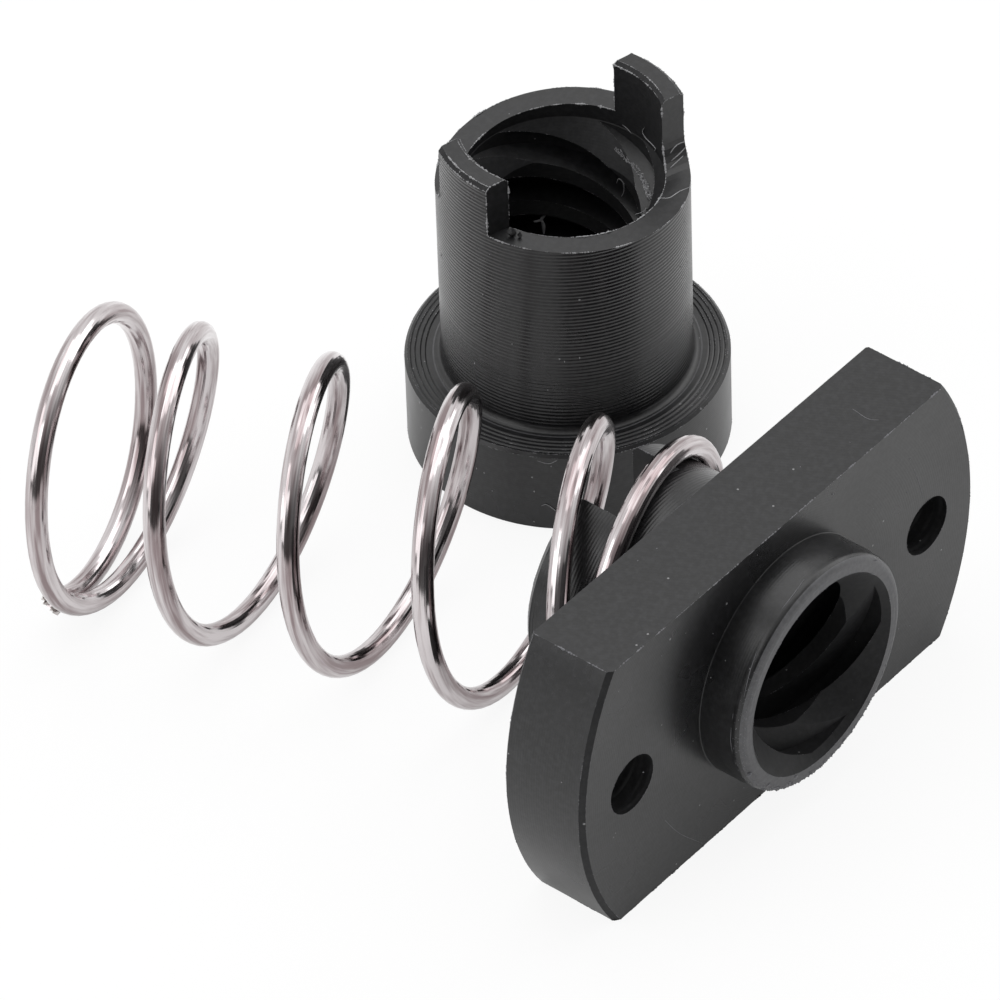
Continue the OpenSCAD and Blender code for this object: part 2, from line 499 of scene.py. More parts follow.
@dataclass(frozen=True)
class BlackAcetal:
    """Black acetal, cut from rod and left as the tool left it: a satin grey sheen on deep black.

    The lines are as far apart as the tool's feed. The grain is a little coarser than the real one,
    which is too fine to show. The specks are the pale dust that clings to such a plastic.
    """

    name: str
    surface: Surface
    colour: str = "#141415"
    worn_colour: str = "#2e2e30"
    speck_colour: str = "#7a7a7b"
    roughness: float = 0.27
    ior: float = 1.48
    specular: float = 0.5
    line_mm: float = 0.178
    line_depth_mm: float = 0.013
    line_wander: float = 0.25
    milling_slant: float = 0.6
    grain_mm: float = 0.12
    grain_depth_mm: float = 0.0008
    clouds_per_mm: float = 0.25
    specks_per_mm: float = 1.4
    speck_reach: float = 0.075
    speck_share: float = 0.3

    def across_lines(self, tree: bpy.types.NodeTree, mm: bpy.types.NodeSocket) -> bpy.types.NodeSocket:
        """Finds the way across the tool's lines.

        Args:
            tree: The material's node tree.
            mm: The place in millimetres.

        Returns:
            The way, in millimetres.
        """
        axes = add_node(tree, "SeparateXYZ", {0: mm}).outputs
        if self.surface is Surface.MILLED:
            slant = add_node(tree, "Math", {"operation": "MULTIPLY", 0: axes[2], 1: self.milling_slant})
            return add_node(tree, "Math", {"operation": "ADD", 0: axes[0], 1: slant.outputs[0]}).outputs[0]
        x, y = (add_node(tree, "Math", {"operation": "POWER", 0: axis, 1: 2.0}) for axis in axes[:2])
        total = add_node(tree, "Math", {"operation": "ADD", 0: x.outputs[0], 1: y.outputs[0]})
        radius = add_node(tree, "Math", {"operation": "SQRT", 0: total.outputs[0]})
        return add_node(tree, "Math", {"operation": "ADD", 0: radius.outputs[0], 1: axes[2]}).outputs[0]

    def lines(self, tree: bpy.types.NodeTree, mm: bpy.types.NodeSocket) -> bpy.types.NodeSocket:
        """Draws the lines that the tool left, which are not quite even.

        Args:
            tree: The material's node tree.
            mm: The place in millimetres.

        Returns:
            The height of the lines, from about -0.5 to 1.
        """
        across = self.across_lines(tree, mm)
        spread = {"noise_dimensions": "1D", "Scale": 0.35 / self.line_mm, "Detail": 2.0, "Roughness": 0.7}
        uneven = add_node(tree, "TexNoise", {**spread, "W": across}).outputs["Fac"]
        wander, turns = self.line_wander * self.line_mm, 2 * math.pi / self.line_mm
        drift = add_node(tree, "Math", {"operation": "MULTIPLY", 0: uneven, 1: wander})
        shifted = add_node(tree, "Math", {"operation": "ADD", 0: across, 1: drift.outputs[0]})
        angle = add_node(tree, "Math", {"operation": "MULTIPLY", 0: shifted.outputs[0], 1: turns})
        wave = add_node(tree, "Math", {"operation": "SINE", 0: angle.outputs[0]})
        # Half of the height is the even wave and half is the unevenness
        even, odd = (
            add_node(tree, "Math", {"operation": "MULTIPLY", 0: height, 1: 0.5}).outputs[0]
            for height in (wave.outputs[0], uneven)
        )
        return add_node(tree, "Math", {"operation": "ADD", 0: even, 1: odd}).outputs[0]

    def skin(
        self, tree: bpy.types.NodeTree, mm: bpy.types.NodeSocket, grain: bpy.types.NodeSocket
    ) -> bpy.types.NodeSocket:
        """Returns the colour: black, lighter where it is worn, with pale specks of dust.

        Args:
            tree: The material's node tree.
            mm: The place in millimetres.
            grain: The height of the grain.

        Returns:
            The colour's socket.
        """
        wear = {"From Min": 0.4, "From Max": 0.8, "To Min": 0.0, "To Max": 0.6}
        worn = add_node(tree, "MapRange", {**wear, "Value": grain}).outputs[0]
        both = {"data_type": "RGBA", "A": linear(self.colour), "B": linear(self.worn_colour)}
        tint = add_node(tree, "Mix", {**both, "Factor": worn}).outputs["Result"]
        cells = add_node(tree, "TexVoronoi", {"Scale": self.specks_per_mm, "Vector": mm}).outputs
        lot = add_node(tree, "SeparateColor", {0: cells["Color"]}).outputs
        reach = add_node(tree, "Math", {"operation": "MULTIPLY", 0: lot[1], 1: self.speck_reach})
        far = cells["Distance"]
        inside = add_node(tree, "Math", {"operation": "LESS_THAN", 0: far, 1: reach.outputs[0]}).outputs[0]
        chosen = add_node(tree, "Math", {"operation": "LESS_THAN", 0: lot[0], 1: self.speck_share})
        speck = add_node(tree, "Math", {"operation": "MULTIPLY", 0: inside, 1: chosen.outputs[0]})
        dusty = {"data_type": "RGBA", "A": tint, "B": linear(self.speck_colour)}
        return add_node(tree, "Mix", {**dusty, "Factor": speck.outputs[0]}).outputs["Result"]

    def build(self) -> bpy.types.Material:
        """Makes the material.

        Returns:
            The material.
        """
        made, tree, shader = new_material(self.name)
        place = add_node(tree, "TexCoord").outputs["Object"]
        mm = add_node(tree, "VectorMath", {"operation": "SCALE", "Scale": 1 / MM, 0: place}).outputs[0]
        grit = {"Scale": 0.5 / self.grain_mm, "Detail": 3.0, "Roughness": 0.6}
        grain = add_node(tree, "TexNoise", {**grit, "Vector": mm}).outputs["Fac"]
        haze = {"Scale": self.clouds_per_mm, "Detail": 2.0, "Roughness": 0.5}
        cloud = add_node(tree, "TexNoise", {**haze, "Vector": mm}).outputs["Fac"]
        dull = {"To Min": self.roughness - 0.04, "To Max": self.roughness + 0.06}
        shine = add_node(tree, "MapRange", {"From Min": 0.3, "From Max": 0.7, **dull, "Value": cloud})
        depth = {"Strength": 1.0, "Distance": self.grain_depth_mm * MM}
        fine = add_node(tree, "Bump", {**depth, "Height": grain}).outputs[0]
        depth = {"Strength": 1.0, "Distance": self.line_depth_mm * MM}
        ridges = add_node(tree, "Bump", {**depth, "Height": self.lines(tree, mm), "Normal": fine})
        tree.links.new(self.skin(tree, mm, grain), shader.inputs["Base Color"])
        tree.links.new(shine.outputs[0], shader.inputs["Roughness"])
        tree.links.new(ridges.outputs[0], shader.inputs["Normal"])
        shader.inputs["IOR"].default_value = self.ior
        shader.inputs["Specular IOR Level"].default_value = self.specular
        return made


@dataclass(frozen=True)
class SpringWire:
    """Drawn stainless spring wire: mirror-like, with fine lines along the wire.

    The lines that the die leaves are too fine to show, so they are drawn a few to each wire. Along them the
    colour darkens: painted reflections of dark things round the wire.
    """

    name: str
    colour: str
    painted_reflection_colour: str
    roughness: float
    lines_along: float = 0.14
    lines_round: float = 6.0
    line_depth_mm: float = 0.005

    def build(self) -> bpy.types.Material:
        """Makes the material.

        Returns:
            The material.
        """
        made, tree, shader = new_material(self.name)
        wire = add_node(tree, "UVMap", {"uv_map": "along_wire"}).outputs[0]
        stretch = {"vector_type": "POINT", "Scale": (self.lines_along, self.lines_round, 1.0)}
        place = add_node(tree, "Mapping", {**stretch, "Vector": wire}).outputs[0]
        streaks = {"Scale": 1.0, "Detail": 3.0, "Roughness": 0.65}
        lines = add_node(tree, "TexNoise", {**streaks, "Vector": place}).outputs["Fac"]
        depth = {"Strength": 1.0, "Distance": self.line_depth_mm * MM}
        ridges = add_node(tree, "Bump", {**depth, "Height": lines})
        # Darker colour where the lines run: painted reflections, as stripes along the wire
        share = add_node(tree, "MapRange", {"From Min": 0.42, "From Max": 0.62, "Value": lines})
        both = {"data_type": "RGBA", "A": linear(self.colour), "B": linear(self.painted_reflection_colour)}
        tint = add_node(tree, "Mix", {**both, "Factor": share.outputs[0]})
        tree.links.new(ridges.outputs[0], shader.inputs["Normal"])
        tree.links.new(tint.outputs["Result"], shader.inputs["Base Color"])
        shader.inputs["Metallic"].default_value = 1.0
        shader.inputs["Roughness"].default_value = self.roughness
        return made


# The collar's barrel: the feed leaves ridges that catch the light as fine, clear rings
TURNED = BlackAcetal("Turned black acetal", Surface.TURNED)
# The nut's barrel: a lighter cut, whose rings show only where the light grazes them
LIGHTLY_TURNED = BlackAcetal(
    "Lightly turned black acetal", Surface.TURNED, line_mm=0.14, line_depth_mm=0.004
)
# Faces cut with a fine feed: even and satin, with dust on them and hardly a line
FINELY_TURNED = BlackAcetal(
    "Finely turned black acetal",
    Surface.FINE,
    roughness=0.29,
    line_mm=0.12,
    line_depth_mm=0.001,
    speck_share=0.9,
)
# The collar's prongs and end faces: smooth and a little duller than the turned faces
MILLED = BlackAcetal(
    "Milled black acetal", Surface.MILLED, roughness=0.32, line_mm=0.25, line_depth_mm=0.0008
)
# The nut's flats and slot: broad soft reflections, duller still
SOFTLY_MILLED = BlackAcetal(
    "Softly milled black acetal",
    Surface.MILLED,
    roughness=0.34,
    specular=0.42,
    line_depth_mm=0.0008,
)
# Thread flanks and small chamfers: matt, so that they stay dark where the light falls in. On the outer
# chamfers of the nut and the collar this duller copy is painted shade, which makes them a dark band
THREADS_AND_PAINTED_SHADE = BlackAcetal(
    "Black acetal of threads and painted shade",
    Surface.THREAD,
    "#1e1e1f",
    "#2f2f30",
    roughness=0.5,
    specular=0.22,
    line_depth_mm=0.0015,
)
# The spigot's end and one thin ring on the collar's flange: painted pale grey, as a painted sheen and a
# painted highlight line, with a coarse grain
PAINTED_SHEEN = BlackAcetal(
    "Black acetal with painted sheen",
    Surface.PAINTED_SHEEN,
    "#4c4c4e",
    "#646466",
    roughness=0.5,
    line_depth_mm=0.002,
    grain_mm=0.1,
    grain_depth_mm=0.01,
)
# Burrs, swarf and torn places on the collar, which scatter the light and look pale grey. On the strip at the
# thread's first flank the same pale grey is a painted highlight
TORN = BlackAcetal("Torn black acetal", Surface.TORN, "#8c8c8e", "#a8a8aa", roughness=0.6)
# The same on the nut, where they are finer and look darker
SOFTLY_TORN = BlackAcetal("Softly torn black acetal", Surface.TORN, "#66666a", "#808082", roughness=0.6)
# The wire's skin: bright, with darker stripes along it, which are painted reflections
DRAWN_WIRE = SpringWire("Drawn stainless spring wire", "#d0cacb", "#8e8081", 0.12)
# The wire's sheared end: pale and dull
CUT_WIRE = SpringWire("Cut end of the spring wire", "#e6e2e0", "#b0aaa8", 0.4)

# Each in the order of its surfaces' places on the mesh
NUT_FINISHES = (LIGHTLY_TURNED, FINELY_TURNED, SOFTLY_MILLED, THREADS_AND_PAINTED_SHADE, PAINTED_SHEEN, SOFTLY_TORN)
COLLAR_FINISHES = (TURNED, FINELY_TURNED, MILLED, THREADS_AND_PAINTED_SHADE, PAINTED_SHEEN, TORN)
WIRE_FINISHES = (DRAWN_WIRE, CUT_WIRE)


# Pieces


def mouth_cutter(mouth_r: float, face: float, low: float) -> Draft:
    """Makes the closed cone that opens a screw bore, at 45 degrees, in a face that looks down.

    Args:
        mouth_r: The opening's radius in the face, in millimetres.
        face: The face's height.
        low: How far down the cutter reaches.

    Returns:
        The closed cutter.
    """
    tip_r = SCREW_THREAD.core_r - 0.5
    tip = face + (mouth_r - SCREW_THREAD.core_r) + 0.5
    return lathe([(0, low), (mouth_r + PAST, low), (mouth_r + PAST, face - PAST), (tip_r, tip), (0, tip)])


# Points along each scratch on the nut's flat surfaces, in millimetres
NUT_SCRATCHES = (
    ((7.1, -6.55, 2.0), (7.0, -6.55, 1.2), (7.2, -6.55, 0.8)),
    ((8.4, -3.6, 0.0), (8.7, -2.7, 0.0), (9.0, -1.7, 0.0)),
    ((-7.3, 3.4, 0.0), (-6.4, 4.8, 0.0), (-5.0, 6.4, 0.0)),
)
# Turn in degrees and height along each scratch round the nut's spigot
SPIGOT_SCRATCHES = (
    ((-113, -1.6), (-104, -1.6), (-95, -1.5)),
    ((-155, -1.8), (-144, -1.7), (-134, -1.6)),
    ((-165, -1.5), (-180, -1.5), (-195, -1.6)),
)
# Radius, turn in degrees and half thickness of the nubs on the spigot's end
SPIGOT_NUBS = ((4.5, 112, 0.11), (4.7, 135, 0.07), (4.9, 157, 0.07), (4.9, -45, 0.06))


@dataclass
class FlangeNut:
    """The flange nut, turned from rod, milled flat on two sides and slotted at the back.

    Height 0 is the flange's front face. Sizes and burrs' half thicknesses are in millimetres, and
    angles in degrees.
    """

    flange_r: float = 12.25
    flat_w: float = 13.1
    flange_t: float = 3.8
    front_chamfer: float = 0.2
    back_chamfer: float = 0.08
    stem_r: float = 5.1
    spigot_l: float = 2.0
    spigot_rim_r: float = 0.4
    lip_step: float = 0.04
    lip_foot: float = -1.4
    lip_shoulder: float = -1.2
    mouth_r: float = 4.35
    foot_r: float = 0.035
    barrel_l: float = 4.9
    rim_chamfer: float = 0.25
    slot_w: float = 3.6
    slot_l: float = 2.3
    hole_x: float = 9.25
    thread_phase: float = 38.0
    bore_burr: float = 0.009
    mouth_burr: float = 0.016
    flat_burr: float = 0.03
    flat_back_burr: float = 0.01
    slot_burr: float = 0.024
    hole_burr: float = 0.018
    other_burr: float = 0.014
    rim_crumbs: int = 900
    rim_crumb: float = 0.05
    face_crumb_tries: int = 16
    flat_crumbs: int = 4
    scratch_r: float = 0.014

    def outline(self) -> Outline:
        """Draws what is turned on the lathe.

        Returns:
            Radius and height of each point, from the spigot's end to the barrel's end.
        """
        side, foot, rim = self.stem_r, self.foot_r, self.spigot_rim_r
        front, back = self.front_chamfer, self.back_chamfer
        end, rear = -self.spigot_l, self.flange_t + self.barrel_l
        lip = side - self.lip_step
        return [
            (0.0, end),
            *arc((lip - rim, end + rim), rim, 270, 360),
            (lip, self.lip_foot),
            (side, self.lip_shoulder),
            *arc((side + foot, -foot), foot, 180, 90, 3),
            (self.flange_r - front, 0.0),
            (self.flange_r, front),
            (self.flange_r, self.flange_t - back),
            (self.flange_r - back, self.flange_t),
            *arc((side + foot, self.flange_t + foot), foot, 270, 180),
            (side, rear - self.rim_chamfer),
            (side - self.rim_chamfer, rear),
            (0.0, rear),
        ]

    def surface(self, centre: Vector, normal: Vector) -> Surface:
        """Says how a face was made.

        Args:
            centre: The face's middle, in millimetres.
            normal: The face's normal.

        Returns:
            The surface.
        """
        radius = math.hypot(centre.x, centre.y)
        from_hole = math.hypot(abs(centre.x) - self.hole_x, centre.y)
        in_bore = radius < self.mouth_r or from_hole < BOLT_THREAD.root_r
        if in_bore and abs(normal.z) < SQUARE:
            return Surface.THREAD
        # The spigot's end face takes the pale grey material: a painted sheen for the light band on its rim
        if centre.z < self.spigot_rim_r - self.spigot_l and normal.z < -0.6:
            return Surface.PAINTED_SHEEN
        # The flange's front chamfer takes the thread's duller material: painted shade, for a dark band
        on_chamfer = 0.02 < centre.z < self.front_chamfer - 0.02
        if on_chamfer and radius > self.flange_r - 0.3:
            return Surface.THREAD
        on_flat = abs(abs(centre.y) - self.flat_w / 2) < NEAR
        behind_slot_floor = centre.z > self.flange_t + self.barrel_l - self.slot_l - NEAR
        if on_flat or (behind_slot_floor and abs(centre.x) < self.slot_w / 2 + NEAR):
            return Surface.MILLED
        on_barrel = centre.z > self.flange_t + 0.1 and abs(normal.z) < 0.9
        return Surface.TURNED if on_barrel else Surface.FINE

    def burr_size(self, spot: Vector) -> float:
        """Says how thick the burr is on an edge.

        Args:
            spot: The place on the edge, in millimetres.

        Returns:
            The burr's half thickness, in millimetres.
        """
        if math.hypot(spot.x, spot.y) < self.mouth_r + 0.1:
            return self.bore_burr if spot.z > 0.1 - self.spigot_l else self.mouth_burr
        if abs(abs(spot.y) - self.flat_w / 2) < 0.05:
            return self.flat_burr if spot.z < self.flange_t - 0.1 else self.flat_back_burr
        if spot.z > self.flange_t + 0.3:
            return self.slot_burr
        if abs(math.hypot(abs(spot.x) - self.hole_x, spot.y) - 1.3) < 0.4:
            return self.hole_burr if spot.z < 0.05 else 0.0
        return self.other_burr

    def cutters(self) -> list[Draft]:
        """Makes the cutters for all that is milled, drilled or threaded.

        Returns:
            Those for the flats, the slot, the screw bore, its mouth and the two holes.
        """
        rear, far = self.flange_t + self.barrel_l, 30.0
        flat, slot = self.flat_w / 2, self.slot_w / 2
        cuts = []
        for side in (-1, 1):
            outline = [(-far, side * flat), (far, side * flat), (far, side * far), (-far, side * far)]
            cuts.append(prism(outline[::side], -far, far))
        cuts.append(prism([(-slot, -far), (slot, -far), (slot, far), (-slot, far)], rear - self.slot_l, far))
        cuts.append(SCREW_THREAD.cutter(-self.spigot_l - PAST, rear + PAST, self.thread_phase))
        cuts.append(mouth_cutter(self.mouth_r, -self.spigot_l, -far))
        for side in (-1, 1):
            hole = BOLT_THREAD.cutter(-PAST, self.flange_t + PAST, 90 * side, 64)
            cuts.append(hole.turned(Matrix.Translation((side * self.hole_x, 0, 0))))
        return cuts

    def torn_rim(self) -> Draft:
        """Roughens the spigot's rounded rim.

        Returns:
            The crumbs and the nubs that stand on it.
        """
        made, rim = Draft(), self.spigot_rim_r
        for _ in range(self.rim_crumbs):
            turn = random.uniform(0, 2 * math.pi)
            tilt = math.radians(random.uniform(0, 90))
            # The rim is rougher on one side than on the other, and rough in patches
            rough = 0.4 + 0.4 * math.cos(turn - 2.2)
            rough += 0.5 * noise.noise(Vector((math.cos(turn), math.sin(turn), 3.0)) * 1.6)
            out = Vector((math.cos(turn), math.sin(turn), 0.0))
            r = self.stem_r - self.lip_step - rim * (1 - math.sin(tilt))
            spot = out * r + Vector((0, 0, rim * (1 - math.cos(tilt)) - self.spigot_l))
            if rough > 0:
                size = self.rim_crumb * rough * random.uniform(0.4, 1.2)
                made.add(crumb(spot, out.cross(Vector((0, 0, 1))), size))
        for r, turn, size in SPIGOT_NUBS:
            made.add(crumb(around(r, turn, 0.03 - self.spigot_l), Vector((1, 0, 0)), size))
        return made

    def stray_crumbs(self) -> Draft:
        """Strews a few crumbs on the flange.

        Returns:
            The crumbs on its front face and its upper flat.
        """
        made = Draft()
        for _ in range(self.face_crumb_tries):
            spot = Vector((random.uniform(-11.0, 11.0), random.uniform(-6.0, 6.0), 0.0))
            if self.stem_r + 0.5 < spot.length < self.flange_r - 0.5:
                made.add(crumb(spot, Vector((0.6, 0.8, 0.0)), random.uniform(0.015, 0.04)))
        for _ in range(self.flat_crumbs):
            spot = Vector((random.uniform(-9.0, 9.0), -self.flat_w / 2, random.uniform(0.5, 3.5)))
            made.add(crumb(spot, Vector((1.0, 0.0, 0.0)), random.uniform(0.02, 0.035)))
        return made

    def scratches(self) -> Draft:
        """Scratches the flange and the spigot.

        Returns:
            The scratches' raised lips.
        """
        made = Draft()
        for path in NUT_SCRATCHES:
            made.add(strand([Vector(point) for point in path], self.scratch_r))
        for path in SPIGOT_SCRATCHES:
            spots = [around(self.stem_r - 0.03, turn, height) for turn, height in path]
            made.add(strand(spots, self.scratch_r))
        return made

    def build(self, place: Matrix, finishes: Sequence[bpy.types.Material]) -> bpy.types.Object:
        """Makes the nut.

        Args:
            place: The nut's matrix, in metres.
            finishes: One material for each Surface, in order.

        Returns:
            The nut's object.
        """
        body = lathe(self.outline()).to_object("flange_nut_turned", place)
        carve(body, self.cutters())
        for material in finishes:
            body.data.materials.append(material)
        finish_mesh(body, self.surface)
        torn = burrs(body, self.burr_size)
        for more in (self.torn_rim(), self.stray_crumbs(), self.scratches()):
            torn.add(more)
        stick(body, torn, Surface.TORN)
        return body


# Radius and half thickness of each curl on the collar, then the turn in degrees and height along it
SWARF = (
    (4.07, 0.02, ((0, 13.5), (2, 13.2), (-1, 13.0), (-7, 13.0), (-12, 13.0), (-10, 12.8))),
    (4.09, 0.014, ((18, 12.9), (14, 12.8), (10, 12.6))),
    (3.3, 0.025, ((14, 10.5), (12, 10.8), (9, 10.8), (7, 10.7), (7, 10.3), (10, 9.9))),
    (3.2, 0.07, ((77, 8.2), (72, 8.2), (69, 8.4), (65, 8.6))),
    (3.15, 0.08, ((71, 8.2), (70, 7.9), (70, 7.5))),
    (3.3, 0.025, ((-8, 10.4), (-22, 10.7), (-36, 11.3), (-52, 11.9), (-66, 12.4))),
    (6.62, 0.018, ((-136, 1.3), (-134, 1.4), (-131, 1.1), (-129, 0.9))),
    (6.6, 0.014, ((-137, 3.7), (-133, 3.6), (-130, 3.8))),
)
# Radius, turn in degrees, height and half thickness of the parts of the chunk at a prong's foot
CHUNK = ((4.6, 208, 13.7, 0.16), (4.4, 208, 13.6, 0.14), (4.5, 212, 13.6, 0.12))
# Places in the milled corner at a prong's foot that each scratch passes, in millimetres
PRONG_SCRATCHES = (
    ((4.0, -1.8), (4.4, -1.7), (4.8, -1.7)),
    ((3.9, -2.0), (4.4, -1.9), (4.8, -1.8)),
    ((3.7, -2.2), (4.1, -2.1), (4.5, -2.0)),
    ((2.3, -3.4), (2.6, -3.6), (3.2, -3.5), (3.7, -3.5)),
)


@dataclass
class Collar:
    """The pronged collar, turned from rod, with two gaps milled into its end.

    Height 0 is its base. Sizes and burrs' half thicknesses are in millimetres, angles in degrees.
    """

    flange_r: float = 6.6
    flange_h: float = 4.0
    rim_chamfer: float = 0.12
    barrel_r: float = 5.1
    end_h: float = 13.2
    tip_h: float = 16.0
    tip_chamfer: float = 0.16
    foot_r: float = 0.3
    mouth_r: float = 4.35
    recess_r: float = 4.1
    recess_depth: float = 0.45
    recess_drop: float = 1.5
    prong_w: float = 3.2
    slope: float = 4.3
    cutter_r: float = 1.15
    ring_radii: tuple[float, ...] = (5.72, 5.92, 6.14, 6.34)
    ring_depth: float = 0.035
    # Radius of a thin ring painted pale grey at the fillet's foot: a painted highlight line
    painted_highlight_ring_r: float = 5.43
    yaw: float = -14.7
    thread_phase: float = 47.0
    flange_burr: float = 0.012
    bore_burr: float = 0.009
    left_burr: float = 0.04
    mouth_burr: float = 0.044
    other_burr: float = 0.03
    scratch_r: float = 0.025
    # The strip of pale crumbs on the thread's first flank: its pale grey is a painted highlight
    strip_crumbs: int = 420
    strip_crumb: float = 0.035
    strip_top: float = 12.1
    strip_drop: float = 0.85
    strip_start: float = 17.0
    strip_turn: float = 43.0
    barrel_crumbs: int = 14
    flange_crumbs: int = 8

    def outline(self) -> Outline:
        """Draws what is turned on the lathe.

        Returns:
            Radius and height of each point, from the base to the prongs' tips.
        """
        edge, rim, top = self.flange_r, self.rim_chamfer, self.flange_h
        side, foot = self.barrel_r, self.foot_r
        rings = [
            point
            for ring in reversed(self.ring_radii)
            for point in ((ring + 0.05, top), (ring + 0.01, top - self.ring_depth), (ring - 0.05, top))
        ]
        return [
            (0.0, 0.0),
            (edge - rim, 0.0),
            (edge, rim),
            (edge, top - rim),
            (edge - rim, top),
            *rings,
            (self.painted_highlight_ring_r + 0.03, top),
            *arc((side + foot, top + foot), foot, 270, 180),
            (side, self.tip_h - self.tip_chamfer),
            (side - self.tip_chamfer, self.tip_h),
            (0.0, self.tip_h),
        ]

    def gap_cutters(self) -> list[Draft]:
        """Makes the cutters for the gaps between the prongs, which lie on the X axis.

        Returns:
            Those for the two sides with the cutter's radius, then the two sharp ones.
        """
        w, r, reach = self.prong_w / 2, self.cutter_r, 12.0
        sharp = [(w, 0.0), (reach, 0.0), (reach, reach), (w, reach)]
        rounded = [*arc((w + r, r), r, 180, 270, 7), (reach, 0.0), (reach, reach), (w, reach)]
        cuts = []
        upright = Matrix.Translation((0, 0, self.end_h)) @ Matrix.Rotation(math.radians(-self.slope), 4, "Y")
        # The outlines' X and Y are the piece's Y and Z
        swap = Matrix(((0, 0, 1, 0), (1, 0, 0, 0), (0, 1, 0, 0), (0, 0, 0, 1)))
        for outline, low, high in ((rounded, -reach, 0.0), (sharp, -1.0, reach)):
            cut = prism(outline, low, high).turned(upright @ swap)
            cuts += [cut, cut.turned(Matrix.Rotation(math.pi, 4, "Z"))]
        return cuts

    def recess_cutter(self) -> Draft:
        """Makes the cutter for the recess between the prongs.

        Returns:
            The cutter, which narrows to the thread.
        """
        floor, tip = self.end_h - self.recess_depth, self.tip_h - self.tip_chamfer
        return lathe([
            (0, floor - self.recess_drop),
            (SCREW_THREAD.core_r - 0.1, floor - self.recess_drop),
            (self.recess_r, floor),
            (self.recess_r, tip),
            (self.recess_r + self.tip_chamfer + PAST, self.tip_h + PAST),
            (0, self.tip_h + PAST),
        ])

    def surface(self, centre: Vector, normal: Vector) -> Surface:
        """Says how a face was made.

        Args:
            centre: The face's middle, in millimetres.
            normal: The face's normal.

        Returns:
            The surface.
        """
        radius = math.hypot(centre.x, centre.y)
        # The thin ring at the fillet's foot takes the pale grey material: a painted highlight line
        if abs(radius - self.painted_highlight_ring_r) < 0.04 and abs(centre.z - self.flange_h) < NEAR:
            return Surface.PAINTED_SHEEN
        # The tips' chamfer takes the thread's duller material: painted shade, for a dark band
        on_tip_chamfer = centre.z > self.tip_h - self.tip_chamfer + NEAR and 0.4 < abs(normal.z) < SQUARE
        if on_tip_chamfer or (radius < self.recess_r + NEAR and abs(normal.z) < 0.9):
            return Surface.THREAD
        if centre.z > self.end_h - 0.5 and self.recess_r + NEAR < radius < self.barrel_r - NEAR:
            on_tip = abs(centre.z - self.tip_h) < NEAR
            return Surface.FINE if on_tip else Surface.MILLED
        on_barrel = centre.z > self.flange_h + self.foot_r and abs(normal.z) < 0.9
        return Surface.TURNED if on_barrel else Surface.FINE

    def burr_size(self, spot: Vector) -> float:
        """Says how thick the burr is on an edge.

        Args:
            spot: The place on the edge, in millimetres.

        Returns:
            The burr's half thickness, in millimetres.
        """
        radius = math.hypot(spot.x, spot.y)
        if spot.z < self.flange_h + 0.5:
            return self.flange_burr
        if spot.z < self.end_h - self.recess_depth + 0.1:
            return self.bore_burr
        if spot.x < 0 and radius > self.barrel_r - 0.5:
            return self.left_burr
        return self.mouth_burr if radius < self.recess_r + 0.1 else self.other_burr

    def in_corner(self, x: float, y: float) -> Vector:
        """Finds a place on the milled surface beside the prong that points along X.

        Args:
            x: The place's X, in millimetres.
            y: The place's Y, in millimetres.

        Returns:
            The place on the surface.
        """
        r = self.cutter_r
        inward = max(0.0, self.prong_w / 2 + r - abs(y))
        rise = r - math.sqrt(r * r - inward * inward)
        return Vector((x, y, self.end_h - x * math.tan(math.radians(self.slope)) + rise))

    def swarf(self) -> Draft:
        """Lays swarf on the collar and scratches it beside one prong.

        Returns:
            The curls of swarf and the scratches' raised lips.
        """
        made = Draft()
        for radius, thick, path in SWARF:
            made.add(strand([around(radius, turn, height) for turn, height in path], thick))
        for path in PRONG_SCRATCHES:
            made.add(strand([self.in_corner(x, y) for x, y in path], self.scratch_r))
        return made

    def strip_of_painted_highlight(self) -> Draft:
        """Strews a strip of crumbs where the thread's first crest runs out into the recess. The crumbs are
        real roughness, and their pale grey is a painted highlight for the bright sheen on that flank.

        Returns:
            The strip's crumbs.
        """
        made = Draft()
        for _ in range(self.strip_crumbs):
            share = random.random()
            height = self.strip_top - self.strip_drop * share
            height += random.uniform(-0.03, 0.03) * (1 + 4 * share)
            turn = self.strip_start - self.strip_turn * share
            spot = around(random.uniform(3.4, 3.6), turn, height)
            along = Vector((0.0, 0.9, 0.4)).normalized()
            made.add(crumb(spot, along, self.strip_crumb * (0.4 + share)))
        return made

    def stray_crumbs(self) -> Draft:
        """Strews a few crumbs on the collar.

        Returns:
            The crumbs on the barrel and on the flange's side.
        """
        made, up = Draft(), Vector((0, 0, 1))
        for _ in range(self.barrel_crumbs):
            turn, height = random.uniform(150, 330), random.uniform(6.0, self.end_h - 0.5)
            made.add(crumb(around(self.barrel_r, turn, height), up, random.uniform(0.02, 0.035)))
        for _ in range(self.flange_crumbs):
            turn, height = random.uniform(190, 240), random.uniform(1.0, self.flange_h - 0.2)
            made.add(crumb(around(self.flange_r, turn, height), up, random.uniform(0.025, 0.045)))
        return made

    def chunk(self) -> Draft:
        """Tears a chunk at the foot of one prong.

        Returns:
            The chunk's parts.
        """
        made = Draft()
        for radius, turn, height, size in CHUNK:
            made.add(crumb(around(radius, turn, height), Vector((0, 0, 1)), size))
        return made

